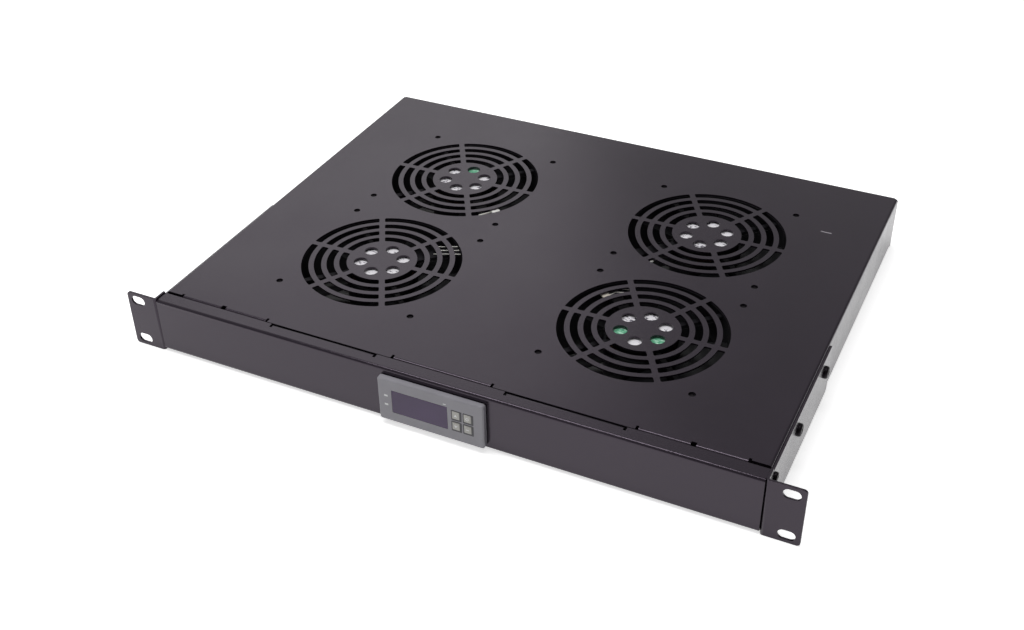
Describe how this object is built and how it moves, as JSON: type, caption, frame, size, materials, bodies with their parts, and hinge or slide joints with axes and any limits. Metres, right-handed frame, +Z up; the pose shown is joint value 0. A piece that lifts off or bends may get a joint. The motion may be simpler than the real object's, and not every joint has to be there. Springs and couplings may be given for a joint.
{
  "type": "rack fan tray",
  "caption": "One-unit 19-inch rack fan tray: axial fans hung under a punched top plate, a panel thermostat in the front and a mains inlet behind.",
  "frame": {"origin": "centre of the four rack slots, in the plane where the ears meet the rack rails", "axes": "+X along the front to the right, +Y into the rack, +Z up"},
  "size_m": [0.4826, 0.359, 0.0434],
  "materials": {
    "black_coat": "satin powder coat",
    "black_screw": "black oxide",
    "zinc": "zinc plated",
    "steel": "ground",
    "cast_frame": "die-cast, black paint",
    "winding": "varnished winding and core",
    "grey_plastic": "moulded",
    "button_plastic": "moulded",
    "dark_window": "tinted, clear",
    "rubber": "matte",
    "black_plastic": "moulded",
    "green_plastic": "moulded",
    "white_plastic": "moulded",
    "board": "circuit board",
    "brass": "plated pins",
    "lead_black": "cable sheath",
    "lead_grey": "cable sheath",
    "lead_white": "wire insulation"
  },
  "bodies": {
    "tray": {"chassis": "black_coat", "front_panel": "black_coat", "rack_ear_left": "black_coat", "rack_ear_right": "black_coat", "panel_nuts": "zinc", "ear_nuts": "zinc", "ear_screws": "black_screw", "fan_screws": "zinc", "fan_bearings": "steel", "fan_stators": "winding", "thermostat_bezel": "grey_plastic", "thermostat_window": "dark_window", "thermostat_gasket": "rubber", "thermostat_housing": "black_plastic", "thermostat_board": "board", "thermostat_clips": "black_plastic", "thermostat_terminals": "green_plastic", "thermostat_terminal_screws": "zinc", "inlet_body": "black_plastic", "inlet_pins": "brass", "inlet_screws": "zinc", "inlet_nuts": "zinc", "inlet_boot": "black_plastic", "terminal_block": "white_plastic", "terminal_block_screws": "zinc", "terminal_block_nuts": "zinc", "thermostat_lead": "lead_black", "supply_lead": "lead_black", "sensor_lead": "lead_grey", "sensor_probe": "steel", "lead_clips": "white_plastic", "fan_frame_front_left": "cast_frame", "fan_lead_front_left": "lead_white", "fan_frame_front_right": "cast_frame", "fan_lead_front_right": "lead_white", "fan_frame_rear_left": "cast_frame", "fan_lead_rear_left": "lead_white", "fan_frame_rear_right": "cast_frame", "fan_lead_rear_right": "lead_white"},
    "rotor_front_left": {"fan_rotor_front_left": "black_plastic", "fan_shaft_front_left": "steel"},
    "rotor_front_right": {"fan_rotor_front_right": "black_plastic", "fan_shaft_front_right": "steel"},
    "rotor_rear_left": {"fan_rotor_rear_left": "black_plastic", "fan_shaft_rear_left": "steel"},
    "rotor_rear_right": {"fan_rotor_rear_right": "black_plastic", "fan_shaft_rear_right": "steel"},
    "button_up": {"button_up": "button_plastic"},
    "button_set": {"button_set": "button_plastic"},
    "button_down": {"button_down": "button_plastic"},
    "button_mode": {"button_mode": "button_plastic"}
  },
  "joints": [
    {"name": "spin_front_left", "type": "hinge", "parent": "tray", "child": "rotor_front_left", "pos_m": [-0.1, 0.1077, 0], "axis": [0, 0, 1], "continuous": true},
    {"name": "spin_front_right", "type": "hinge", "parent": "tray", "child": "rotor_front_right", "pos_m": [0.1, 0.1077, 0], "axis": [0, 0, 1], "continuous": true},
    {"name": "spin_rear_left", "type": "hinge", "parent": "tray", "child": "rotor_rear_left", "pos_m": [-0.1, 0.2377, 0], "axis": [0, 0, 1], "continuous": true},
    {"name": "spin_rear_right", "type": "hinge", "parent": "tray", "child": "rotor_rear_right", "pos_m": [0.1, 0.2377, 0], "axis": [0, 0, 1], "continuous": true},
    {"name": "press_up", "type": "slide", "parent": "tray", "child": "button_up", "axis": [0, 1, 0], "range_m": [0, 0.0005], "stiffness_N_per_m": 2000, "springref_m": -0.0003},
    {"name": "press_set", "type": "slide", "parent": "tray", "child": "button_set", "axis": [0, 1, 0], "range_m": [0, 0.0005], "stiffness_N_per_m": 2000, "springref_m": -0.0003},
    {"name": "press_down", "type": "slide", "parent": "tray", "child": "button_down", "axis": [0, 1, 0], "range_m": [0, 0.0005], "stiffness_N_per_m": 2000, "springref_m": -0.0003},
    {"name": "press_mode", "type": "slide", "parent": "tray", "child": "button_mode", "axis": [0, 1, 0], "range_m": [0, 0.0005], "stiffness_N_per_m": 2000, "springref_m": -0.0003}
  ]
}
